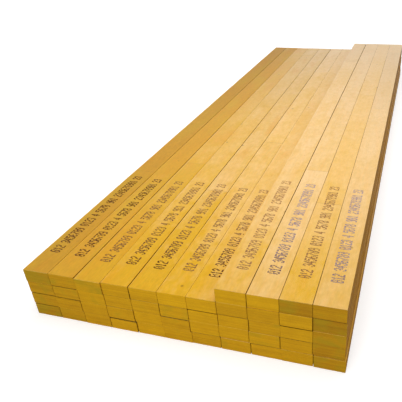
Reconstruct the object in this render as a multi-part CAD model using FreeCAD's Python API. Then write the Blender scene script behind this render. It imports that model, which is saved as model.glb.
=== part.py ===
import FreeCAD, Part
import math
import os
from dataclasses import dataclass

# A stack of laminated veneer lumber: rows of planed boards that lie flat, one layer straight on the next.
# The boards run along Y, with the front ends at low Y. X is across the stack, from left to right, and Z is up.
# The origin is on the floor, at the middle of the stack's width and length. All sizes are in millimetres.

# One board, as it comes off the planer: a square-cut length with its four long edges eased
board_width = 90.0
board_thickness = 45.0
board_length = 3000.0
arris_radius = 0.8

# Seams that are left between two boards of a layer when they are pushed together by hand
tight_seam = 0.3
thin_seam = 1.0
open_seam = 2.0
wide_seam = 3.0


@dataclass
class Layer:
    """One course of boards, from left to right.

    front_seams and back_seams hold the seam after each board but the last, at its two ends, so that a board
    between two unlike seams lies a little askew. end_steps holds how many millimetres each front end stands
    proud of the line that the stack was knocked flush to. first_column is the column that the first board
    lies on, counted from 1, and side_shift is how far the course stands to the right of the one below it.
    """

    first_column: int
    side_shift: float
    front_seams: list
    back_seams: list
    end_steps: list


layers = [
    Layer(
        1, 0.0,
        [open_seam, open_seam, open_seam, wide_seam, tight_seam, tight_seam, open_seam, open_seam,
         tight_seam, open_seam],
        [thin_seam, open_seam, open_seam, open_seam, tight_seam, thin_seam, open_seam, open_seam,
         tight_seam, open_seam],
        [1, 1, 2, 2, 1, 1, 0, 1, 1, 2, 3],
    ),
    Layer(
        1, -0.5,
        [tight_seam, wide_seam, tight_seam, open_seam, thin_seam, thin_seam, tight_seam, open_seam,
         open_seam, thin_seam],
        [tight_seam, open_seam, thin_seam, open_seam, thin_seam, thin_seam, tight_seam, open_seam,
         thin_seam, thin_seam],
        [1, 2, 3, 2, 1, 2, 0, -1, 1, 1, 0],
    ),
    Layer(
        1, -0.5,
        [open_seam, open_seam, thin_seam, thin_seam, open_seam, thin_seam, thin_seam, wide_seam,
         tight_seam, thin_seam],
        [thin_seam, open_seam, thin_seam, thin_seam, open_seam, open_seam, thin_seam, open_seam,
         tight_seam, open_seam],
        [1, 2, 3, 2, 2, 2, 1, -1, 1, 1, 1],
    ),
    Layer(
        1, -0.5,
        [thin_seam, wide_seam, tight_seam, wide_seam, thin_seam, tight_seam, thin_seam, open_seam,
         thin_seam, open_seam],
        [open_seam, tight_seam, tight_seam, thin_seam, wide_seam, tight_seam, thin_seam, open_seam,
         thin_seam, open_seam],
        [2, 2, 5, 2, 2, 2, 1, 0, 2, 1, -2],
    ),
    Layer(
        8, 0.0,
        [open_seam, thin_seam, thin_seam],
        [wide_seam, tight_seam, tight_seam],
        [0, 0, -1, -1],
    ),
]


@dataclass
class Placed:
    """Where one board lies: its left edge at the front and back ends, its front end, and its underside."""

    name: str
    front_x: float
    back_x: float
    front_y: float
    bottom_z: float


def left_edges(start, seams):
    """Left edge of every board of a course: each board's width and the seam after it, added up."""
    edges = [start]
    for seam in seams:
        edges.append(edges[-1] + board_width + seam)
    return edges


def place_layers():
    """Lay the courses out, bottom first. A course starts over the board of the same column below it."""
    placed = []
    fronts_below = {1: 0.0}
    backs_below = {1: 0.0}
    for level, layer in enumerate(layers):
        first = layer.first_column
        fronts = left_edges(fronts_below[first] + layer.side_shift, layer.front_seams)
        backs = left_edges(backs_below[first] + layer.side_shift, layer.back_seams)
        columns = range(first, first + len(fronts))
        for column, front_x, back_x, step in zip(columns, fronts, backs, layer.end_steps):
            name = "layer_%d_board_%02d" % (level + 1, column)
            placed.append(Placed(name, front_x, back_x, -step, level * board_thickness))
        fronts_below = dict(zip(columns, fronts))
        backs_below = dict(zip(columns, backs))
    return placed


def board_blank():
    """One board with its front left lower corner at the origin: a straight prism with eased long edges."""
    blank = Part.makeBox(board_width, board_length, board_thickness)
    long_edges = [edge for edge in blank.Edges if edge.BoundBox.YLength > board_length / 2]
    return blank.makeFillet(arris_radius, long_edges)


def lay(blank, place):
    """A copy of the blank, turned by the small angle between its two ends and moved to its place."""
    board = blank.copy()
    askew = math.degrees(math.atan2(place.back_x - place.front_x, board_length))
    board.rotate(FreeCAD.Vector(0, 0, 0), FreeCAD.Vector(0, 0, 1), -askew)
    board.translate(FreeCAD.Vector(place.front_x, place.front_y, place.bottom_z))
    return board


def centred(boards):
    """The boards moved together, so that the origin is at the middle of the stack's box, on the floor."""
    box = Part.makeCompound(boards).optimalBoundingBox(False)
    shift = FreeCAD.Vector(-(box.XMin + box.XMax) / 2, -(box.YMin + box.YMax) / 2, -box.ZMin)
    for board in boards:
        board.translate(shift)
    return boards


def main():
    """Lay the whole stack and write each board to its own file."""
    os.makedirs("parts", exist_ok=True)
    places = place_layers()
    blank = board_blank()
    boards = centred([lay(blank, place) for place in places])
    for place, board in zip(places, boards):
        board.exportStep("parts/%s.step" % place.name)
    box = Part.makeCompound(boards).optimalBoundingBox(False)
    print("boards", len(boards))
    print("box", [round(v, 3) for v in (box.XMin, box.YMin, box.ZMin, box.XMax, box.YMax, box.ZMax)])


main()
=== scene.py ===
"""Dresses a stack of laminated veneer lumber boards: their surfaces, the printed rows, studio and camera."""
import logging
import math
from dataclasses import dataclass
from enum import Enum

import bpy
import numpy as np
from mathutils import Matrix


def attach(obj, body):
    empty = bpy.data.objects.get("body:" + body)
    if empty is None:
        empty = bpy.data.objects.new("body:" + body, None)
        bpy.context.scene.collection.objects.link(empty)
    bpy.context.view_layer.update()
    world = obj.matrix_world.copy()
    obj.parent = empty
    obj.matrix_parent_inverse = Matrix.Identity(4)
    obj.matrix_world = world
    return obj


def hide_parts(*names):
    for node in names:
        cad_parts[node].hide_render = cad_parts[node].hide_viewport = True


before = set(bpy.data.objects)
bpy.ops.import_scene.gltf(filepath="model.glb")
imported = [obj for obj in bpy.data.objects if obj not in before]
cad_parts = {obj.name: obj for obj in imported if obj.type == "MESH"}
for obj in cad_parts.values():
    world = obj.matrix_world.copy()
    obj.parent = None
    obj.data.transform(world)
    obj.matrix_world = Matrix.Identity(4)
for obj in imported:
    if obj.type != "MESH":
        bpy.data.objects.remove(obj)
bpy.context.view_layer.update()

log = logging.getLogger("stack")

MM = 0.001
BODY = "root"

# Attributes that a board's mesh carries for its finish
PLACE = "board_place"
TONE = "board_tone"
INK = "ink_strength"

# Metres by which a pattern is moved for each whole step of a random value, so that no two boards share it
PATTERN_SHIFT = (9.0, 9.0, 9.0)


def linear(hex_colour: str) -> tuple:
    """Turn an sRGB hex colour into the linear values that the shaders take.

    Args:
        hex_colour: six hex digits after a hash sign.

    Returns:
        Red, green, blue and an alpha of 1.
    """
    channels = [int(hex_colour[i:i + 2], 16) / 255 for i in (1, 3, 5)]
    bent = [c / 12.92 if c <= 0.04045 else ((c + 0.055) / 1.055) ** 2.4 for c in channels]
    return (*bent, 1.0)


def add_node(tree: bpy.types.NodeTree, kind: str, inputs: dict | tuple = (), **settings) -> bpy.types.Node:
    """Add one node, set its properties, and fill or link its inputs.

    Args:
        tree: the node tree that gets the node.
        kind: the node's type name.
        inputs: what each input gets, by name or in the inputs' order: a value, an output socket, or a node
            that feeds it from its first output in use.
        settings: properties of the node.

    Returns:
        The new node.
    """
    node = tree.nodes.new(kind)
    for name, value in settings.items():
        setattr(node, name, value)
    for key, value in inputs.items() if isinstance(inputs, dict) else enumerate(inputs):
        if isinstance(value, bpy.types.Node):
            value = next(output for output in value.outputs if output.enabled)
        if isinstance(value, bpy.types.NodeSocket):
            tree.links.new(value, node.inputs[key])
        else:
            node.inputs[key].default_value = value
    return node


def empty_material(name: str) -> bpy.types.Material:
    """Make a node material with nothing in it yet.

    Args:
        name: the material's name.

    Returns:
        The material, whose tree holds no nodes.
    """
    material = bpy.data.materials.new(name)
    material.use_nodes = True
    material.node_tree.nodes.clear()
    return material


def mesh_object(name: str, points: np.ndarray, quads: np.ndarray) -> bpy.types.Object:
    """Make an object at the origin from vertex places and four-sided faces.

    Args:
        name: name of the object and of its mesh.
        points: one row of x, y, z in metres for each vertex.
        quads: one row of four vertex numbers for each face.

    Returns:
        The linked object.
    """
    mesh = bpy.data.meshes.new(name)
    mesh.vertices.add(len(points))
    mesh.vertices.foreach_set("co", points.astype(np.float32).ravel())
    mesh.loops.add(quads.size)
    mesh.loops.foreach_set("vertex_index", quads.astype(np.int32).ravel())
    mesh.polygons.add(len(quads))
    mesh.polygons.foreach_set("loop_start", np.arange(0, quads.size, quads.shape[1], dtype=np.int32))
    mesh.update(calc_edges=True)
    mesh.validate()
    piece = bpy.data.objects.new(name, mesh)
    bpy.context.scene.collection.objects.link(piece)
    return piece


def soften(piece: bpy.types.Object, sharp_over_degrees: float) -> None:
    """Shade a piece smooth, but keep its edges crisp where they turn by more than an angle.

    Args:
        piece: the mesh object.
        sharp_over_degrees: the smallest turn that stays a crisp edge.
    """
    piece.data.polygons.foreach_set("use_smooth", np.ones(len(piece.data.polygons), dtype=bool))
    piece.data.set_sharp_from_angle(angle=math.radians(sharp_over_degrees))


def give_attribute(mesh: bpy.types.Mesh, name: str, kind: str, values: np.ndarray) -> None:
    """Store one value on each vertex, for a material to read.

    Args:
        mesh: the mesh that gets the attribute.
        name: the attribute's name.
        kind: FLOAT, FLOAT_VECTOR or FLOAT_COLOR.
        values: one row for each vertex.
    """
    field = {"FLOAT": "value", "FLOAT_VECTOR": "vector", "FLOAT_COLOR": "color"}[kind]
    attribute = mesh.attributes.new(name, kind, "POINT")
    attribute.data.foreach_set(field, values.astype(np.float32).ravel())


def stretched(tree: bpy.types.NodeTree, place: bpy.types.Node | bpy.types.NodeSocket, cell: tuple,
              **inputs: float) -> bpy.types.Node:
    """A noise whose cells are drawn out along the board.

    Args:
        tree: the material's tree.
        place: place on the board, in metres.
        cell: size of a cell across, along and through the board, in millimetres.
        inputs: the noise's own inputs, by name.

    Returns:
        The noise, from 0 to 1.
    """
    cells = add_node(tree, "ShaderNodeVectorMath", (place, [side * MM for side in cell]), operation="DIVIDE")
    return add_node(tree, "ShaderNodeTexNoise", {"Vector": cells, "Scale": 1.0, **inputs})


@dataclass(frozen=True)
class Sockets:
    """What every timber finish reads from the mesh: place on the board, its parts, and the board's tone."""

    place: bpy.types.NodeSocket
    along: bpy.types.NodeSocket
    height: bpy.types.NodeSocket
    strength: bpy.types.NodeSocket
    paleness: bpy.types.NodeSocket
    seed: bpy.types.NodeSocket
    sheet_start: bpy.types.NodeSocket

    @classmethod
    def of(cls, tree: bpy.types.NodeTree) -> "Sockets":
        """Add the nodes that read a board's attributes.

        Args:
            tree: the material's tree.

        Returns:
            The sockets.
        """
        place = add_node(tree, "ShaderNodeAttribute", attribute_name=PLACE).outputs["Vector"]
        parts = add_node(tree, "ShaderNodeSeparateXYZ", (place,)).outputs
        tone = add_node(tree, "ShaderNodeAttribute", attribute_name=TONE).outputs
        tones = add_node(tree, "ShaderNodeSeparateXYZ", (tone["Vector"],)).outputs
        return cls(place, parts["Y"], parts["Z"], tones["X"], tones["Y"], tones["Z"], tone["Alpha"])


@dataclass(frozen=True)
class CoatedVeneerFace:
    """Rotary-peeled pine veneer, sanded and rolled over with a thin translucent yellow coat.

    The coat gives a satin face that goes pale where it is seen at a slant. Through it show a broad soft
    figure, fine fibres, butt joints where one veneer sheet meets the next, and a few small knots. The coat's
    colour is made yellower towards the front end, and paler towards the far end as a painted sheen.
    """

    golden: str = "#e7b11e"
    pale: str = "#f7ce90"
    orange: str = "#e9a31a"
    latewood: str = "#ffe9c0"
    joint: str = "#7d5516"
    knot: str = "#7a4d16"
    satin: float = 0.28
    matt: float = 0.50
    ior: float = 1.5
    sheet_length: float = 1220 * MM
    joint_width: float = 4 * MM
    knot_radius: float = 7 * MM
    knot_spacing: float = 238.1 * MM
    front_gold_reach: float = 700 * MM
    front_gold: float = -0.36
    far_sheen_reach: tuple = (1900 * MM, 3000 * MM)
    far_sheen_pale: float = 0.25
    figure_bands: float = 55.0

    # Sizes of one cell of each pattern across, along and through the board, in millimetres. Real fibres are
    # far finer, and are drawn this coarse so that they show.
    fibre_cell: tuple = (2.381, 142.9, 2.381)
    mottle_cell: tuple = (6.667, 20.0, 6.667)
    cloud_cell: tuple = (23.81, 41.67, 23.81)
    figure_cell: tuple = (52.63, 909.1, 52.63)
    warmth_cell: tuple = (76.92, 333.3, 76.92)
    blotch_cell: tuple = (90.91, 312.5, 90.91)

    def material(self) -> bpy.types.Material:
        """Build the finish of the two wide faces.

        Returns:
            The node material.
        """
        made = empty_material("coated_veneer_face")
        tree = made.node_tree
        board = Sockets.of(tree)
        sheet, joint = self.sheets(tree, board)
        place = add_node(tree, "ShaderNodeVectorMath", (sheet, PATTERN_SHIFT, board.place),
                         operation="MULTIPLY_ADD")
        fibre = stretched(tree, place, self.fibre_cell, Detail=3.0, Roughness=0.6)
        cloud = stretched(tree, place, self.cloud_cell, Detail=3.0, Roughness=0.6)
        tone = add_node(tree, "ShaderNodeSeparateXYZ", (sheet,)).outputs

        colour = self.colour(tree, board, place, cloud, tone["X"])
        level = self.level(tree, place, fibre, cloud, tone["Y"])
        level = add_node(tree, "ShaderNodeMath", (level, board.strength), operation="ADD")
        base = add_node(tree, "ShaderNodeVectorMath", {0: colour, "Scale": level}, operation="SCALE")
        for amount, mark in ((joint, self.joint), (self.knots(tree, place), self.knot)):
            base = add_node(tree, "ShaderNodeMix", {"Factor": amount, "A": base, "B": linear(mark)},
                            data_type="RGBA")

        bump = add_node(tree, "ShaderNodeBump", {"Strength": 0.3, "Distance": 0.2 * MM, "Height": fibre})
        gloss = add_node(tree, "ShaderNodeMapRange", (board.paleness, -0.2, 0.1, self.matt, self.satin))
        shader = add_node(tree, "ShaderNodeBsdfPrincipled", {
            "Base Color": base, "Roughness": gloss, "IOR": self.ior, "Normal": bump})
        add_node(tree, "ShaderNodeOutputMaterial", {"Surface": shader})
        return made

    def colour(self, tree: bpy.types.NodeTree, board: Sockets, place: bpy.types.Node, cloud: bpy.types.Node,
               sheet_tone: bpy.types.NodeSocket) -> bpy.types.Node:
        """The coat's colour: from golden to pale, warmer in places, with the figure's bands through it.

        The paleness is the board's own plus shares of the blotches, the clouds and the sheet's tone, less
        towards the front end and more towards the far one, where the extra paleness is a painted sheen.

        Args:
            tree: the material's tree.
            board: what the mesh tells of the board.
            place: place on the sheet, in metres.
            cloud: the soft clouds.
            sheet_tone: a random value for the sheet.

        Returns:
            The colour.
        """
        blotch = stretched(tree, place, self.blotch_cell, Detail=3.0, Roughness=0.55)
        pale = board.paleness
        for part, share in ((blotch, 1.1), (cloud, 0.8), (sheet_tone, 0.26)):
            pale = add_node(tree, "ShaderNodeMath", (part, share, pale), operation="MULTIPLY_ADD")
        # Painted sheen: paler towards the far end. The front end is made yellower.
        fade_and_sheen = add_node(tree, "ShaderNodeMapRange", (board.along, *self.far_sheen_reach, 0.0, self.far_sheen_pale),
                         interpolation_type="SMOOTHSTEP")
        toward_front = add_node(tree, "ShaderNodeMapRange", (board.along, 0.0, self.front_gold_reach, self.front_gold, 0.0),
                          interpolation_type="SMOOTHSTEP")
        for part in (fade_and_sheen, toward_front):
            pale = add_node(tree, "ShaderNodeMath", (part, pale), operation="ADD")
        pale = add_node(tree, "ShaderNodeMapRange", (pale, 1.09, 2.09))
        colour = add_node(tree, "ShaderNodeMix", {"Factor": pale, "A": linear(self.golden),
                                                  "B": linear(self.pale)}, data_type="RGBA")

        warmth = stretched(tree, place, self.warmth_cell, Detail=2.0)
        warmth = add_node(tree, "ShaderNodeMath", (board.paleness, -0.35, warmth), operation="MULTIPLY_ADD")
        warmth = add_node(tree, "ShaderNodeMapRange", (warmth, 0.42, 0.64, 0.0, 0.6),
                          interpolation_type="SMOOTHSTEP")
        colour = add_node(tree, "ShaderNodeMix", {"Factor": warmth, "A": colour, "B": linear(self.orange)},
                          data_type="RGBA")
        return add_node(tree, "ShaderNodeMix", {"Factor": self.figure(tree, place), "A": colour,
                                                "B": linear(self.latewood)},
                        data_type="RGBA", blend_type="MULTIPLY")

    def level(self, tree: bpy.types.NodeTree, place: bpy.types.Node, fibre: bpy.types.Node,
              cloud: bpy.types.Node, sheet_tone: bpy.types.NodeSocket) -> bpy.types.Node:
        """How much lighter or darker a place is than the board: shares of fibres, mottle, clouds and sheet.

        Args:
            tree: the material's tree.
            place: place on the sheet, in metres.
            fibre: the fine fibres.
            cloud: the soft clouds.
            sheet_tone: a random value for the sheet.

        Returns:
            What is added to the board's strength.
        """
        mottle = stretched(tree, place, self.mottle_cell, Detail=2.0)
        level = add_node(tree, "ShaderNodeMapRange", (fibre, 0.25, 0.75, -0.23, -0.15))
        for part, share in ((mottle, 0.26), (cloud, 0.12), (sheet_tone, 0.07)):
            level = add_node(tree, "ShaderNodeMath", (part, share, level), operation="MULTIPLY_ADD")
        return level

    def sheets(self, tree: bpy.types.NodeTree, board: Sockets) -> tuple:
        """Which veneer sheet a place lies on, and the butt joints between sheets.

        Args:
            tree: the material's tree.
            board: what the mesh tells of the board.

        Returns:
            Three random values for the sheet as one vector, and the joint's strength.
        """
        count = add_node(tree, "ShaderNodeMath", (board.along, 1 / self.sheet_length, board.sheet_start),
                         operation="MULTIPLY_ADD")
        number = add_node(tree, "ShaderNodeMath", (count,), operation="FLOOR")
        key = add_node(tree, "ShaderNodeCombineXYZ", (number, board.seed))
        chance = add_node(tree, "ShaderNodeTexWhiteNoise", {"Vector": key}, noise_dimensions="3D")
        sheet = chance.outputs["Color"]
        within = add_node(tree, "ShaderNodeMath", (count,), operation="FRACT")
        width = self.joint_width / self.sheet_length
        line = add_node(tree, "ShaderNodeMapRange", (within, 0.0, width, 0.5, 0.0))
        tone = add_node(tree, "ShaderNodeSeparateXYZ", (sheet,)).outputs["Z"]
        tight = add_node(tree, "ShaderNodeMapRange", (tone, 0.3, 0.8, 0.15, 1.0))
        return sheet, add_node(tree, "ShaderNodeMath", (line, tight), operation="MULTIPLY")

    def figure(self, tree: bpy.types.NodeTree, place: bpy.types.Node) -> bpy.types.Node:
        """Soft contour bands of the peeled log: a sine of a slow, drawn-out noise.

        Args:
            tree: the material's tree.
            place: place on the sheet, in metres.

        Returns:
            The bands' strength.
        """
        field = stretched(tree, place, self.figure_cell, Detail=1.5, Distortion=0.5)
        rings = add_node(tree, "ShaderNodeMath", (field, self.figure_bands), operation="MULTIPLY")
        wave = add_node(tree, "ShaderNodeMath", (rings,), operation="SINE")
        return add_node(tree, "ShaderNodeMapRange", (wave, -0.2, 1.0, 0.0, 0.20),
                        interpolation_type="SMOOTHSTEP")

    def knots(self, tree: bpy.types.NodeTree, place: bpy.types.Node) -> bpy.types.Node:
        """Sparse small knots: a soft disc at the middle of some cells of a wide scatter.

        Args:
            tree: the material's tree.
            place: place on the sheet, in metres.

        Returns:
            The knots' strength.
        """
        per_metre = 1 / self.knot_spacing
        spread = add_node(tree, "ShaderNodeVectorMath", (place, (per_metre, per_metre, 0.0)),
                          operation="MULTIPLY")
        cells = add_node(tree, "ShaderNodeTexVoronoi", {"Vector": spread, "Scale": 1.0},
                         voronoi_dimensions="2D").outputs
        edge = self.knot_radius * per_metre
        disc = add_node(tree, "ShaderNodeMapRange", (cells["Distance"], 0.2 * edge, edge, 0.7, 0.0),
                        interpolation_type="SMOOTHSTEP")
        key = add_node(tree, "ShaderNodeSeparateColor", (cells["Color"],)).outputs["Red"]
        here = add_node(tree, "ShaderNodeMapRange", (key, 0.35, 0.7))
        return add_node(tree, "ShaderNodeMath", (disc, here), operation="MULTIPLY")


@dataclass(frozen=True)
class VeneerStack:
    """The glued veneers through a board's thickness, as level stripes with thin dark glue lines."""

    thickness: float = 3.0 * MM
    glue_share: float = 0.16

    def stripes(self, tree: bpy.types.NodeTree, board: Sockets, glue_strength: float) -> tuple:
        """Shade of each veneer and the glue lines between them.

        Args:
            tree: the material's tree.
            board: what the mesh tells of the board.
            glue_strength: how strongly a glue line shows.

        Returns:
            One random value for each veneer, and the glue line's strength.
        """
        count = add_node(tree, "ShaderNodeMath", (board.height, 1 / self.thickness), operation="MULTIPLY")
        number = add_node(tree, "ShaderNodeMath", (count,), operation="FLOOR")
        key = add_node(tree, "ShaderNodeCombineXYZ", (number, board.seed))
        shade = add_node(tree, "ShaderNodeTexWhiteNoise", {"Vector": key}, noise_dimensions="3D")
        within = add_node(tree, "ShaderNodeMath", (count,), operation="FRACT")
        glue = add_node(tree, "ShaderNodeMapRange", (within, 0.0, self.glue_share, glue_strength, 0.0))
        return shade.outputs["Value"], glue


@dataclass(frozen=True)
class PlanedVeneerEdge:
    """The narrow faces, planed across all the veneers, so that their edges show as long fine stripes.

    The coat is thin here and the open fibres leave the face matt. Cell sizes are in millimetres, and the
    fibres are coarser than real ones, so that they show.
    """

    light: str = "#bd8420"
    dark: str = "#865a12"
    glue: str = "#6a4612"
    stack: VeneerStack = VeneerStack()
    fibre_cell: tuple = (2.381, 142.9, 2.381)
    streak_cell: tuple = (16.67, 666.7, 6.25)
    roughness: float = 0.8
    specular: float = 0.05

    def material(self) -> bpy.types.Material:
        """Build the finish of the two narrow faces.

        Returns:
            The node material.
        """
        made = empty_material("planed_veneer_edge")
        tree = made.node_tree
        board = Sockets.of(tree)
        shade, glue = self.stack.stripes(tree, board, 0.5)
        mixed = stretched(tree, board.place, self.fibre_cell, Detail=3.0, Roughness=0.6)
        streak = stretched(tree, board.place, self.streak_cell, Detail=2.0)
        for part, share in ((shade, 0.5), (streak, 0.8)):
            mixed = add_node(tree, "ShaderNodeMath", (part, share, mixed), operation="MULTIPLY_ADD")
        lightness = add_node(tree, "ShaderNodeMapRange", (mixed, 0.6, 1.7))
        base = add_node(tree, "ShaderNodeMix", {"Factor": lightness, "A": linear(self.dark),
                                                "B": linear(self.light)}, data_type="RGBA")
        base = add_node(tree, "ShaderNodeMix", {"Factor": glue, "A": base, "B": linear(self.glue)},
                        data_type="RGBA")
        bump = add_node(tree, "ShaderNodeBump", {"Strength": 0.4, "Distance": 0.25 * MM, "Height": mixed})
        shader = add_node(tree, "ShaderNodeBsdfPrincipled", {
            "Base Color": base, "Roughness": self.roughness, "Specular IOR Level": self.specular,
            "Normal": bump})
        add_node(tree, "ShaderNodeOutputMaterial", {"Surface": shader})
        return made


@dataclass(frozen=True)
class SawnEndGrain:
    """The cross-cut ends: open end grain that drank the yellow coat.

    The light sinks between the fibres, so that the ends are deeper in colour and quite matt, with the
    veneers as faint level stripes. The darker ends have a greenish stain, and on some boards a thin band
    along the upper sawn edge is painted pale, a painted highlight. Cell sizes are in millimetres, and the
    pores are coarser than real ones, so that they show.
    """

    light: str = "#eab516"
    dark: str = "#845611"
    stain: str = "#94811a"
    glue: str = "#8a641c"
    # Colour and band of the painted highlight on the upper sawn edge
    highlight_colour: str = "#f3cc66"
    rim: tuple = (42.6 * MM, 44.4 * MM)
    stack: VeneerStack = VeneerStack()
    pore_cell: tuple = (3.846, 3.846, 1.111)
    patch_cell: tuple = (45.45, 45.45, 31.25)
    board_spread: float = 61.0
    roughness: float = 0.85
    specular: float = 0.08

    def material(self) -> bpy.types.Material:
        """Build the finish of the ends.

        Returns:
            The node material.
        """
        made = empty_material("sawn_end_grain")
        tree = made.node_tree
        board = Sockets.of(tree)
        shade, glue = self.stack.stripes(tree, board, 0.25)
        place = add_node(tree, "ShaderNodeVectorMath", (board.seed, PATTERN_SHIFT, board.place),
                         operation="MULTIPLY_ADD")
        pores = stretched(tree, place, self.pore_cell, Detail=3.0)
        patch = stretched(tree, place, self.patch_cell, Detail=1.5)
        own = add_node(tree, "ShaderNodeTexNoise", {"Vector": board.seed, "Scale": self.board_spread})

        mixed = board.strength
        for part, share in ((shade, 0.22), (pores, 0.45), (patch, 0.30)):
            mixed = add_node(tree, "ShaderNodeMath", (part, share, mixed), operation="MULTIPLY_ADD")
        darkness = add_node(tree, "ShaderNodeMapRange", (mixed, 0.2, 1.7, 1.0, 0.0))
        green = own
        for part, share in ((patch, 0.8), (board.strength, -0.5)):
            green = add_node(tree, "ShaderNodeMath", (part, share, green), operation="MULTIPLY_ADD")
        green = add_node(tree, "ShaderNodeMapRange", (green, 0.70, 0.98, 0.0, 0.55),
                         interpolation_type="SMOOTHSTEP")
        base = linear(self.light)
        # The last mix is the painted highlight on the upper sawn edge.
        for amount, colour in ((darkness, self.dark), (green, self.stain), (glue, self.glue),
                               (self.painted_rim_highlight(tree, board, pores, own), self.highlight_colour)):
            base = add_node(tree, "ShaderNodeMix", {"Factor": amount, "A": base, "B": linear(colour)},
                            data_type="RGBA")
        bump = add_node(tree, "ShaderNodeBump", {"Strength": 0.4, "Distance": 0.3 * MM, "Height": pores})
        shader = add_node(tree, "ShaderNodeBsdfPrincipled", {
            "Base Color": base, "Roughness": self.roughness, "Specular IOR Level": self.specular,
            "Normal": bump})
        add_node(tree, "ShaderNodeOutputMaterial", {"Surface": shader})
        return made

    def painted_rim_highlight(self, tree: bpy.types.NodeTree, board: Sockets, pores: bpy.types.Node,
                 own: bpy.types.Node) -> bpy.types.Node:
        """How much painted highlight the upper sawn edge gets: a thin level band, broken up, on some boards
        only.

        Args:
            tree: the material's tree.
            board: what the mesh tells of the board.
            pores: the fine pores.
            own: a random value for the board.

        Returns:
            The painted highlight's strength.
        """
        band = add_node(tree, "ShaderNodeMapRange", (board.height, *self.rim, 0.0, 0.7),
                        interpolation_type="SMOOTHSTEP")
        worn = add_node(tree, "ShaderNodeMath", (pores, 0.5, own), operation="MULTIPLY_ADD")
        worn = add_node(tree, "ShaderNodeMapRange", (worn, 0.66, 0.90))
        return add_node(tree, "ShaderNodeMath", (band, worn), operation="MULTIPLY")


@dataclass(frozen=True)
class JetInk:
    """Brown-black solvent ink, sprayed as dots that soak into the coat and fade where the jet ran dry.

    On some boards the thin ink is painted a pale lilac, a painted sheen of the ink film.
    """

    name: str = "brown_jet_ink"
    full: str = "#54210a"
    fade_and_sheen: str = "#ca9560"
    soak_per_metre: float = 180.0
    roughness: float = 0.8
    specular: float = 0.15

    def material(self) -> bpy.types.Material:
        """Build the ink.

        Returns:
            The node material.
        """
        made = empty_material(self.name)
        tree = made.node_tree
        strength = add_node(tree, "ShaderNodeAttribute", attribute_name=INK).outputs["Fac"]
        place = add_node(tree, "ShaderNodeTexCoord").outputs["Object"]
        soak = add_node(tree, "ShaderNodeTexNoise", {"Vector": place, "Scale": self.soak_per_metre})
        amount = add_node(tree, "ShaderNodeMath", (soak, 0.5, strength), operation="MULTIPLY_ADD")
        level = add_node(tree, "ShaderNodeMapRange", (amount, 0.2, 1.2))
        colour = add_node(tree, "ShaderNodeMix", {"Factor": level, "A": linear(self.fade_and_sheen),
                                                  "B": linear(self.full)}, data_type="RGBA")
        shader = add_node(tree, "ShaderNodeBsdfPrincipled", {
            "Base Color": colour, "Roughness": self.roughness, "Specular IOR Level": self.specular})
        add_node(tree, "ShaderNodeOutputMaterial", {"Surface": shader})
        return made


@dataclass(frozen=True)
class Lie:
    """Where one board of the frame lies: its left edge at both ends, its length range and its underside."""

    name: str
    left_front: float
    left_back: float
    front: float
    back: float
    bottom: float
    width: float
    thickness: float

    @classmethod
    def of(cls, name: str) -> "Lie":
        """Read a board's place from its solid in the frame.

        Args:
            name: the node's name.

        Returns:
            The board's place.
        """
        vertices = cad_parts[name].data.vertices
        points = np.empty(len(vertices) * 3, dtype=np.float32)
        vertices.foreach_get("co", points)
        points = points.reshape(-1, 3).astype(float)
        at_front = points[:, 1] < points[:, 1].mean()
        low, high = points.min(axis=0), points.max(axis=0)
        left_front = points[at_front, 0].min()
        width = points[at_front, 0].max() - left_front
        return cls(name, left_front, points[~at_front, 0].min(), low[1], high[1], low[2], width,
                   high[2] - low[2])

    def left(self, along: np.ndarray) -> np.ndarray:
        """Left edge at distances from the front end, on the straight line between the two ends."""
        return self.left_front + (self.left_back - self.left_front) * along / (self.back - self.front)


class Dressing(Enum):
    """How finely a board is modelled: all round where its long faces show, else at its ends only."""

    SHOWN = 55 * MM
    BURIED = 1000 * MM


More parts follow.
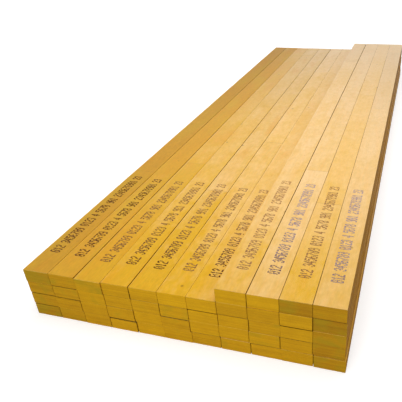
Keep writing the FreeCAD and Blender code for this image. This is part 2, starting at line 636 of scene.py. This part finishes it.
@dataclass
class BoardForm:
    """The shape of a planed and cross-cut board, with its small wear."""

    arris: float = 0.6 * MM
    face_cells: int = 16
    plies: int = 15
    cells_per_ply: int = 2
    wear: float = 0.9 * MM
    wear_length: float = 90 * MM
    tear_out: float = 0.5 * MM
    ply_relief: float = 0.22 * MM
    dip_length: float = 30 * MM
    crisp_over: float = 40.0

    def lines(self, size: float, cells: int) -> np.ndarray:
        """Grid lines across one side of the section, closer together over the two eased corners."""
        r = self.arris
        return np.concatenate([[0, r / 2], np.linspace(r, size - r, cells + 1), [size - r / 2, size]])

    def section(self, width: float, thickness: float) -> tuple:
        """A grid over the board's section, with quarter-round corners.

        Within each corner square, with a and b the distances from the arc's centre as shares of the radius,
        a point moves to a * sqrt(1 - b * b / 2) and b * sqrt(1 - a * a / 2), which turns the square into a
        quarter disc.

        Args:
            width: the section's width.
            thickness: the section's thickness.

        Returns:
            Two arrays of the same shape: x and z of each grid point.
        """
        r = self.arris
        x, z = np.meshgrid(self.lines(width, self.face_cells),
                           self.lines(thickness, self.plies * self.cells_per_ply), indexing="ij")
        left, right = np.clip((r - x) / r, 0, 1), np.clip((x - width + r) / r, 0, 1)
        low, high = np.clip((r - z) / r, 0, 1), np.clip((z - thickness + r) / r, 0, 1)
        across, up = left + right, low + high
        inward_x = r * across * (1 - np.sqrt(1 - up ** 2 / 2))
        inward_z = r * up * (1 - np.sqrt(1 - across ** 2 / 2))
        x = x + np.where(left > 0, inward_x, 0) - np.where(right > 0, inward_x, 0)
        z = z + np.where(low > 0, inward_z, 0) - np.where(high > 0, inward_z, 0)
        return x, z

    @staticmethod
    def rim(shape: tuple) -> np.ndarray:
        """Grid places round the section's outline, anticlockwise as seen from the front end.

        Args:
            shape: the grid's number of points along x and z.

        Returns:
            Flat indices into the grid.
        """
        columns, rows = shape
        i = np.concatenate([np.arange(columns - 1), np.full(rows - 1, columns - 1),
                            np.arange(columns - 1, 0, -1), np.zeros(rows - 1, dtype=int)])
        j = np.concatenate([np.zeros(columns - 1, dtype=int), np.arange(rows - 1),
                            np.full(columns - 1, rows - 1), np.arange(rows - 1, 0, -1)])
        return i * rows + j

    def stations(self, length: float, step: float) -> np.ndarray:
        """Distances along the board at which its outline is repeated, closer together near the ends."""
        near = np.array([0.0, 1.5, 6.0, 18.0, 35.0, 60.0]) * MM
        inner = np.linspace(near[-1], length - near[-1], max(2, round(length / step)) + 1)
        return np.concatenate([near[:-1], inner, length - near[-2::-1]])

    def build(self, lie: Lie, dressing: Dressing, dips: tuple,
              random: np.random.Generator) -> bpy.types.Object:
        """Make one board: its outline carried along its length, and a grid over each sawn end.

        Args:
            lie: where the board lies.
            dressing: how finely its length is divided.
            dips: how far the top dips at the front end and at the back end, where the planer bit deeper.
            random: source of this board's wear.

        Returns:
            The board's object, with its place attribute.
        """
        x, z = self.section(lie.width, lie.thickness)
        rim = self.rim(x.shape)
        inner = np.setdiff1d(np.arange(x.size), rim)
        along = self.stations(lie.back - lie.front, dressing.value)
        rim_x, rim_z = x.ravel()[rim], z.ravel()[rim]
        rim_x, rim_z = self.worn(rim_x, rim_z, along, lie, random)

        length = along[-1]
        depth = [self.end_depth(z.ravel(), x.ravel(), random) for _ in range(2)]
        side = np.stack([rim_x, np.broadcast_to(along[:, None], rim_x.shape), rim_z], axis=-1)
        side[0, :, 1] += depth[0][rim]
        side[-1, :, 1] -= depth[1][rim]
        caps = []
        for distance, sign, relief in ((0.0, 1.0, depth[0]), (length, -1.0, depth[1])):
            y = distance + sign * relief[inner]
            caps.append(np.stack([x.ravel()[inner], y, z.ravel()[inner]], axis=-1))
        local = np.concatenate([side.reshape(-1, 3), *caps])
        local[:, 2] *= self.shrink(local[:, 1], length, dips, lie.thickness)

        quads = self.faces(x.shape, rim, inner, len(along))
        points = np.stack([local[:, 0] + lie.left(local[:, 1]), local[:, 1] + lie.front,
                           local[:, 2] + lie.bottom], axis=-1)
        board = mesh_object(lie.name.replace("layer", "course"), points, quads)
        soften(board, self.crisp_over)
        board.data.polygons.foreach_set("material_index", self.cuts(board.data))
        give_attribute(board.data, PLACE, "FLOAT_VECTOR", local)
        return board

    @staticmethod
    def cuts(mesh: bpy.types.Mesh) -> np.ndarray:
        """Which cut each face belongs to, by the way that it looks.

        Args:
            mesh: the board's mesh.

        Returns:
            0 for a wide face, 1 for a narrow one and 2 for an end.
        """
        normals = np.empty(len(mesh.polygons) * 3, dtype=np.float32)
        mesh.polygons.foreach_get("normal", normals)
        looks = np.abs(normals.reshape(-1, 3))
        return np.where(looks[:, 1] > 0.5, 2, np.where(looks[:, 0] > 0.75, 1, 0)).astype(np.int32)

    def shrink(self, along: np.ndarray, length: float, dips: tuple, thickness: float) -> np.ndarray:
        """Share of the full height at places along the board: a bell-shaped loss at each end.

        Args:
            along: distances from the front end.
            length: the board's length.
            dips: the height lost at the front end and at the back end.
            thickness: the full height.

        Returns:
            The share at each place.
        """
        front = dips[0] * np.exp(-(along / self.dip_length) ** 2)
        back = dips[1] * np.exp(-((length - along) / self.dip_length) ** 2)
        return 1 - (front + back) / thickness

    def worn(self, rim_x: np.ndarray, rim_z: np.ndarray, along: np.ndarray, lie: Lie,
             random: np.random.Generator) -> tuple:
        """Rub the four long edges inwards, by a depth that wanders along the board.

        The depth is a random curve through points a wear length apart, raised to the third power so that
        most of the edge stays sharp. It falls to nothing three arris radii from the corner, and pushes each
        point as far sideways as up or down.

        Args:
            rim_x: the outline's x.
            rim_z: the outline's z.
            along: the stations.
            lie: where the board lies.
            random: source of the curve.

        Returns:
            x and z of the outline at every station.
        """
        count = int((lie.back - lie.front) / self.wear_length) + 2
        slant = 0.7
        x = np.repeat(rim_x[None], len(along), axis=0)
        z = np.repeat(rim_z[None], len(along), axis=0)
        for corner_x in (0.0, lie.width):
            for corner_z in (0.0, lie.thickness):
                curve = np.interp(along / self.wear_length, np.arange(count), random.random(count)) ** 3
                near = np.clip(1 - np.hypot(rim_x - corner_x, rim_z - corner_z) / (3 * self.arris), 0, 1)
                push = self.wear * curve[:, None] * near[None]
                x += push * np.sign(lie.width / 2 - corner_x) * slant
                z += push * np.sign(lie.thickness / 2 - corner_z) * slant
        return x, z

    def end_depth(self, z: np.ndarray, x: np.ndarray, random: np.random.Generator) -> np.ndarray:
        """How far a sawn end's points lie behind its flat plane.

        Each veneer has its own depth, and a coarse random field across the end adds torn fibres.

        Args:
            z: heights of the points.
            x: their distances across the board.
            random: source of the depths.

        Returns:
            Depths in metres, none of them negative.
        """
        thickness = z.max() / self.plies
        veneer = np.clip((z / thickness).astype(int), 0, self.plies - 1)
        flat = random.random(self.plies)[veneer] * self.ply_relief
        torn = random.random(x.shape) ** 4 * self.tear_out
        return flat + torn

    @staticmethod
    def faces(shape: tuple, rim: np.ndarray, inner: np.ndarray, stations: int) -> np.ndarray:
        """Four-sided faces of the sides and of both ends, turned outwards.

        Args:
            shape: the section grid's shape.
            rim: grid places of the outline.
            inner: the other grid places.
            stations: how many outlines there are.

        Returns:
            One row of four vertex numbers for each face.
        """
        around = len(rim)
        m = np.arange(around)
        k = np.arange(stations - 1)[:, None] * around
        here, after = k + m, k + (m + 1) % around
        side = np.stack([here, here + around, after + around, after], axis=-1).reshape(-1, 4)
        quads = [side]
        first_inner = stations * around
        for cap, outline_start in enumerate((0, (stations - 1) * around)):
            number = np.empty(shape[0] * shape[1], dtype=int)
            number[rim] = outline_start + m
            number[inner] = first_inner + cap * len(inner) + np.arange(len(inner))
            grid = number.reshape(shape)
            cells = np.stack([grid[:-1, :-1], grid[1:, :-1], grid[1:, 1:], grid[:-1, 1:]], axis=-1)
            cells = cells.reshape(-1, 4)
            quads.append(cells if cap == 0 else cells[:, ::-1])
        return np.concatenate(quads)


@dataclass(frozen=True)
class BoardTone:
    """How a board took the coat; the values in TONES also carry painted shade and sheen.

    strength and paleness are those of its wide faces, end is how light its ends are, and joint is how far
    the first butt joint of its face veneer lies from the front end.
    """

    strength: float
    paleness: float
    end: float
    joint: float = 0.0


# Tones of the boards that show their top faces, from left to right, and of the darker ends under the two
# left-hand ones and the right-hand one. The strengths rising from left to right and the darker outer ends
# are painted shade; the paleness rising the same way is partly the boards' own tone and partly painted sheen.
TONES = {
    "layer_4_board_01": BoardTone(0.79, -0.20, 0.27, 700 * MM),
    "layer_3_board_01": BoardTone(0.90, 0.50, 0.29),
    "layer_2_board_01": BoardTone(0.90, 0.50, 0.33),
    "layer_1_board_01": BoardTone(0.90, 0.50, 0.22),
    "layer_4_board_02": BoardTone(0.86, -0.14, 0.36, 940 * MM),
    "layer_3_board_02": BoardTone(0.90, 0.50, 0.36),
    "layer_2_board_02": BoardTone(0.90, 0.50, 0.39),
    "layer_1_board_02": BoardTone(0.90, 0.50, 0.35),
    "layer_4_board_03": BoardTone(0.95, 0.04, 0.51, 820 * MM),
    "layer_4_board_04": BoardTone(0.98, 0.30, 0.54, 350 * MM),
    "layer_4_board_05": BoardTone(0.98, 0.42, 0.55, 600 * MM),
    "layer_4_board_06": BoardTone(1.01, 0.50, 0.69, 1100 * MM),
    "layer_4_board_07": BoardTone(1.04, 0.40, 0.64, 1080 * MM),
    "layer_5_board_08": BoardTone(0.99, 0.66, 0.59),
    "layer_5_board_09": BoardTone(0.97, 0.86, 0.59, 760 * MM),
    "layer_5_board_10": BoardTone(1.01, 0.62, 0.17, 515 * MM),
    "layer_5_board_11": BoardTone(0.94, 0.86, 0.25, 300 * MM),
    "layer_4_board_11": BoardTone(0.90, 0.50, 0.09),
    "layer_3_board_11": BoardTone(0.90, 0.50, 0.26),
    "layer_2_board_11": BoardTone(0.90, 0.50, 0.16),
    "layer_1_board_11": BoardTone(0.90, 0.50, 0.26),
}


@dataclass
class BoardStack:
    """All the boards, each standing for its own solid.

    front_dips holds, for the courses from the floor up, how many millimetres the top of each board dips at
    its front end, which leaves a thin dark gap under the board above. back_dip is the most that a covered
    board dips at its back end, and painted_gap_shade_share is the share of a face's strength left by the
    painted shade on a board's wide faces under an open gap.
    """

    form: BoardForm
    finishes: tuple
    columns: int = 11
    base_seed: int = 45
    front_dips: tuple = (
        (2.4, 0.6, 0.3, 4.6, 0.2, 1.2, 0.9, 0.0, 1.2, 0.0, 0.0),
        (2.6, 2.4, 0.5, 0.6, 1.3, 2.6, 0.6, 0.0, 0.5, 1.4, 1.2),
        (1.2, 2.2, 0.5, 0.6, 0.9, 1.1, 2.7, 2.4, 1.2, 3.4, 0.0),
        (0.0, 0.0, 0.0, 0.0, 0.0, 0.0, 0.0, 0.0, 0.0, 0.0, 2.2),
        (0.0,) * 11,
    )
    back_dip: float = 1.2 * MM
    painted_gap_shade_share: float = 0.35

    def is_shown(self, level: int, column: int) -> bool:
        """Whether a board's long faces can be seen from outside the stack."""
        return level in (1, 5) or column in (1, self.columns) or (level == 4 and column <= 8)

    def build(self) -> dict:
        """Make every board and dress it.

        Returns:
            The place of each board, by its node's name.
        """
        woods = [finish.material() for finish in self.finishes]
        lies = {}
        for number, name in enumerate(sorted(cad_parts)):
            random = np.random.default_rng(self.base_seed + number)
            _, level, _, column = name.split("_")
            level, column = int(level), int(column)
            covered = level < 4 or (level == 4 and column > 7)
            dips = (self.front_dips[level - 1][column - 1] * MM, covered * self.back_dip * random.random())
            lie = Lie.of(name)
            dressing = Dressing.SHOWN if self.is_shown(level, column) else Dressing.BURIED
            board = self.form.build(lie, dressing, dips, random)
            # Covered boards under an open gap get painted shade on their wide faces.
            self.tint(board, TONES.get(name), covered and dips[0] > 0, random)
            for wood in woods:
                board.data.materials.append(wood)
            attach(board, BODY)
            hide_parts(name)
            lies[name] = lie
            log.info("board %s: %d faces", board.name, len(board.data.polygons))
        return lies

    def tint(self, board: bpy.types.Object, tone: BoardTone | None, painted_gap_shade: bool,
             random: np.random.Generator) -> None:
        """Write a board's tone on its mesh, with the end's own value on the vertices of the ends.

        Args:
            board: the board.
            tone: its tone, or None for a chance one.
            painted_gap_shade: whether its wide faces get painted shade, for an open gap above it.
            random: source of a chance tone and of the board's seed.
        """
        seed = random.random()
        if tone is None:
            tone = BoardTone(random.uniform(0.92, 1.0), random.uniform(0.2, 0.7), random.uniform(0.42, 0.60))
        sheet_start = 1 - tone.joint / CoatedVeneerFace.sheet_length
        # Painted shade: the wide faces of a board under an open gap are darkened.
        strength = tone.strength * (self.painted_gap_shade_share if painted_gap_shade else 1.0)
        mesh = board.data
        places = np.empty(len(mesh.vertices) * 3, dtype=np.float32)
        mesh.attributes[PLACE].data.foreach_get("vector", places)
        along = places.reshape(-1, 3)[:, 1]
        at_end = (along < 1 * MM) | (along > along.max() - 1 * MM)
        values = np.empty((len(along), 4))
        values[:, 0] = np.where(at_end, tone.end, strength)
        values[:, 1:] = tone.paleness, seed, sheet_start
        give_attribute(mesh, TONE, "FLOAT_COLOR", values)


# Dots of the plain figures that the jet prints, in rows from top to bottom
FIGURE_ROWS, FIGURE_DOTS = 7, 5
FIGURES = {
    "0": (0b01110, 0b10001, 0b10001, 0b10101, 0b10001, 0b10001, 0b01110),
    "1": (0b00100, 0b01100, 0b00100, 0b00100, 0b00100, 0b00100, 0b01110),
    "2": (0b01110, 0b10001, 0b00001, 0b00110, 0b01000, 0b10000, 0b11111),
    "3": (0b01110, 0b10001, 0b00001, 0b00110, 0b00001, 0b10001, 0b01110),
    "4": (0b00010, 0b00110, 0b01010, 0b10010, 0b11111, 0b00010, 0b00010),
    "5": (0b11111, 0b10000, 0b11110, 0b00001, 0b00001, 0b10001, 0b01110),
    "6": (0b01110, 0b10000, 0b10000, 0b11110, 0b10001, 0b10001, 0b01110),
    "7": (0b11111, 0b00001, 0b00010, 0b00100, 0b01000, 0b01000, 0b01000),
    "8": (0b01110, 0b10001, 0b10001, 0b01110, 0b10001, 0b10001, 0b01110),
    "9": (0b01110, 0b10001, 0b10001, 0b01111, 0b00001, 0b00001, 0b01110),
}


@dataclass
class PrintedRow:
    """A row of plain figures along a board's top face, sprayed by a jet head as dots.

    start and end are the places of the row's middle line at its two ends: across from the board's left
    edge, and along from its front end. strength is how dark it prints at the start and at the end, and
    bloomed is whether the thin part of its ink is painted a pale lilac, a painted sheen. figure_pitch is how
    many dots lie between two figures, kept is the share of dots that the jet didn't miss, and scatter is how
    far the dots stray.
    """

    node: str
    start: tuple
    end: tuple
    strength: tuple
    painted_sheen: bool = False
    text: str = "012 3456789 0123 4 5678 901 2345678901 23"
    height: float = 36 * MM
    dot_across: float = 6.2 * MM
    dot_along: float = 4.8 * MM
    film: float = 0.12 * MM
    rim_lift: float = 0.02 * MM
    sides: int = 6
    figure_pitch: float = 6.2
    kept: float = 0.97
    scatter: tuple = (0.25 * MM, 0.3 * MM)

    def dots(self) -> tuple:
        """Places of the dots in the row's own measure.

        Returns:
            Share of the row's length and share of its height, from the middle, of every dot.
        """
        across, along = [], []
        for index, sign in enumerate(self.text):
            for row, bits in enumerate(FIGURES.get(sign, ())):
                for dot in range(FIGURE_DOTS):
                    if bits >> (FIGURE_DOTS - 1 - dot) & 1:
                        along.append((index + (dot + 0.5) / self.figure_pitch) / len(self.text))
                        across.append((FIGURE_ROWS // 2 - row) / FIGURE_ROWS)
        return np.array(along), np.array(across)

    def build(self, lie: Lie, ink: bpy.types.Material, random: np.random.Generator) -> bpy.types.Object:
        """Make the row as low closed lenses of ink that sit in the board's top face.

        Each lens is a ring of rim points on the face, with one point above it and one below.

        Args:
            lie: where the board lies.
            ink: the ink's material.
            random: source of the jet's unevenness.

        Returns:
            The row's object.
        """
        along, across = self.dots()
        kept = random.random(len(along)) < self.kept
        along, across = along[kept], across[kept]
        start, end = np.array(self.start) * MM, np.array(self.end) * MM
        middle = start + (end - start) * along[:, None]
        y = middle[:, 1] + random.normal(0, self.scatter[1], len(along))
        x = middle[:, 0] - across * self.height + random.normal(0, self.scatter[0], len(along))
        size = random.uniform(0.8, 1.1, len(along))

        turn = np.arange(self.sides) * 2 * math.pi / self.sides
        rim_x = x[:, None] + self.dot_across / 2 * size[:, None] * np.cos(turn)
        rim_y = y[:, None] + self.dot_along / 2 * size[:, None] * np.sin(turn)
        local_x = np.concatenate([rim_x, x[:, None], x[:, None]], axis=1)
        local_y = np.concatenate([rim_y, y[:, None], y[:, None]], axis=1)
        lift = np.concatenate([np.full(self.sides, self.rim_lift), [self.film, -self.film]])
        points = np.stack([local_x + lie.left(local_y), local_y + lie.front,
                           np.broadcast_to(lie.bottom + lie.thickness + lift, local_x.shape)], axis=-1)

        m = np.arange(self.sides)
        upper = np.stack([m, (m + 1) % self.sides, np.full(self.sides, self.sides)], axis=-1)
        lower = np.stack([(m + 1) % self.sides, m, np.full(self.sides, self.sides + 1)], axis=-1)
        lens = np.concatenate([upper, lower])
        each = self.sides + 2
        triangles = (np.arange(len(x))[:, None, None] * each + lens[None]).reshape(-1, 3)
        row = mesh_object("printed_" + self.node.replace("layer", "course"), points.reshape(-1, 3), triangles)
        first, last = self.strength
        strength = (last + (first - last) * (1 - along) ** 2) * random.uniform(0.75, 1.1, len(along))
        give_attribute(row.data, INK, "FLOAT", np.repeat(strength, each))
        row.data.materials.append(ink)
        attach(row, BODY)
        log.info("printed row on %s: %d dots", self.node, len(x))
        return row


PRINTED_ROWS = [
    PrintedRow("layer_4_board_01", (38, 103), (44, 652), (0.84, 1.0)),
    PrintedRow("layer_4_board_02", (41, 101), (46, 645), (0.86, 0.92)),
    PrintedRow("layer_4_board_03", (46, 98), (51, 648), (0.60, 0.42)),
    PrintedRow("layer_4_board_04", (44, 102), (48, 655), (0.88, 0.40)),
    PrintedRow("layer_4_board_05", (46, 100), (48, 658), (0.92, 0.25)),
    PrintedRow("layer_4_board_06", (49, 112), (51, 645), (0.42, 0.30)),
    PrintedRow("layer_4_board_07", (47, 102), (44, 648), (0.92, 0.10)),
    PrintedRow("layer_5_board_08", (48, 101), (42, 655), (0.26, -0.05)),
    PrintedRow("layer_5_board_09", (48, 101), (46, 648), (0.72, -0.15), True),
    PrintedRow("layer_5_board_10", (47, 102), (45, 645), (0.34, 0.18)),
    PrintedRow("layer_5_board_11", (47, 102), (41, 640), (0.36, 0.0), True),
]


@dataclass(frozen=True)
class PaleFloor:
    """Matt white studio floor, lit to pure white where no shadow falls."""

    colour: str = "#e6e6e6"
    roughness: float = 0.9

    def material(self, light_level: float) -> bpy.types.Material:
        """Build the floor's finish.

        What the eye sees is the lit floor with the rest of white added, so that shadows stay.

        Args:
            light_level: how bright a fully lit, level white surface is.

        Returns:
            The node material.
        """
        made = empty_material("matt_white_floor")
        tree = made.node_tree
        colour = linear(self.colour)
        matt = add_node(tree, "ShaderNodeBsdfDiffuse", {"Color": colour, "Roughness": self.roughness})
        rays = add_node(tree, "ShaderNodeLightPath").outputs
        seen = rays["Is Camera Ray"]
        for kind in ("Is Glossy Ray", "Is Transmission Ray"):
            seen = add_node(tree, "ShaderNodeMath", (seen, rays[kind]), operation="MAXIMUM")
        rest = add_node(tree, "ShaderNodeMath", (seen, 1 - colour[0] * light_level), operation="MULTIPLY")
        lift = add_node(tree, "ShaderNodeEmission", {"Color": (1, 1, 1, 1), "Strength": rest})
        both = add_node(tree, "ShaderNodeAddShader", (matt, lift))
        add_node(tree, "ShaderNodeOutputMaterial", {"Surface": both})
        return made


@dataclass
class Studio:
    """Floor, soft light from all round, a softbox overhead, a weak broad lamp in front, and the camera."""

    sky: float = 0.52
    horizon: float = 1.0
    ceiling: float = 0.05
    ceiling_height: tuple = (0.30, 0.55)
    softbox_level: float = 0.36
    softbox_place: tuple = (0.2, -0.68, 2.1)
    softbox_size: float = 1.6
    lamp_level: float = 0.136
    lamp_azimuth: float = -5.0
    lamp_elevation: float = 20.0
    lamp_spread: float = 40.0
    floor_reach: float = 60.0
    camera_place: tuple = (0.5955, -2.4436, 1.0944)
    camera_turn: tuple = (60.300, 2.103, 15.799)
    lens: float = 43.776
    sensor: float = 36.0
    shift: tuple = (-0.1716, -0.0075)

    def build(self) -> None:
        """Set up everything that isn't the object."""
        self.floor()
        self.world()
        self.softbox()
        self.lamp()
        self.camera()
        settings = bpy.context.scene.view_settings
        settings.view_transform = "Standard"

    def floor(self) -> None:
        """Lay the floor under the stack, reaching far past every view."""
        r = self.floor_reach
        corners = np.array([[-r, -r, 0], [r, -r, 0], [r, r, 0], [-r, r, 0]])
        ground = mesh_object("studio_floor", corners, np.array([[0, 1, 2, 3]]))
        ground.data.materials.append(PaleFloor().material(self.sky + self.lamp_level))

    def world(self) -> None:
        """Light evenly from all round. The eye sees plain white, and gloss a world that darkens upwards."""
        world = bpy.data.worlds.new("white_studio")
        world.use_nodes = True
        tree = world.node_tree
        tree.nodes.clear()
        rays = add_node(tree, "ShaderNodeLightPath").outputs
        way = add_node(tree, "ShaderNodeTexCoord").outputs["Generated"]
        up = add_node(tree, "ShaderNodeSeparateXYZ", (way,)).outputs["Z"]
        mirrored = add_node(tree, "ShaderNodeMapRange",
                            (up, *self.ceiling_height, self.horizon, self.ceiling))
        strength = self.sky
        for kind, level in (("Is Camera Ray", 1.0), ("Is Transmission Ray", 1.0),
                            ("Is Glossy Ray", mirrored)):
            strength = add_node(tree, "ShaderNodeMapRange", (rays[kind], 0.0, 1.0, strength, level))
        sky = add_node(tree, "ShaderNodeBackground", {"Color": (1, 1, 1, 1), "Strength": strength})
        add_node(tree, "ShaderNodeOutputWorld", {"Surface": sky})
        bpy.context.scene.world = world

    def softbox(self) -> None:
        """Hang a square softbox that faces down, whose level right under it on the floor is softbox_level."""
        light = bpy.data.lights.new("softbox", "AREA")
        light.shape = "SQUARE"
        light.size = self.softbox_size
        light.energy = self.softbox_level * 4 * math.pi * self.softbox_place[2] ** 2
        box = bpy.data.objects.new("softbox", light)
        box.location = self.softbox_place
        box.visible_glossy = False
        bpy.context.scene.collection.objects.link(box)

    def lamp(self) -> None:
        """Hang one broad, far lamp, whose level on a level surface is lamp_level."""
        light = bpy.data.lights.new("broad_lamp", "SUN")
        elevation = math.radians(self.lamp_elevation)
        light.energy = self.lamp_level * math.pi / math.sin(elevation)
        light.angle = math.radians(self.lamp_spread)
        lamp = bpy.data.objects.new("broad_lamp", light)
        lamp.rotation_euler = (math.pi / 2 - elevation, 0, math.radians(self.lamp_azimuth))
        bpy.context.scene.collection.objects.link(lamp)

    def camera(self) -> None:
        """Set the camera where the photograph was taken from."""
        data = bpy.data.cameras.new("photo_view")
        data.lens, data.sensor_width = self.lens, self.sensor
        data.shift_x, data.shift_y = self.shift
        data.clip_start, data.clip_end = 0.05, 200.0
        camera = bpy.data.objects.new("photo_view", data)
        camera.location = self.camera_place
        camera.rotation_euler = [math.radians(a) for a in self.camera_turn]
        bpy.context.scene.collection.objects.link(camera)
        bpy.context.scene.camera = camera


def main() -> None:
    """Build the studio, the boards and their print."""
    logging.basicConfig(level=logging.INFO, format="%(message)s")
    Studio().build()
    lies = BoardStack(BoardForm(), (CoatedVeneerFace(), PlanedVeneerEdge(), SawnEndGrain())).build()
    # The second ink's pale lilac, where the ink is thin, is a painted sheen.
    inks = (JetInk().material(), JetInk("painted_sheen_jet_ink", fade_and_sheen="#c2a7aa").material())
    for number, row in enumerate(PRINTED_ROWS):
        row.build(lies[row.node], inks[row.painted_sheen], np.random.default_rng(number))


if __name__ == "__main__":
    main()
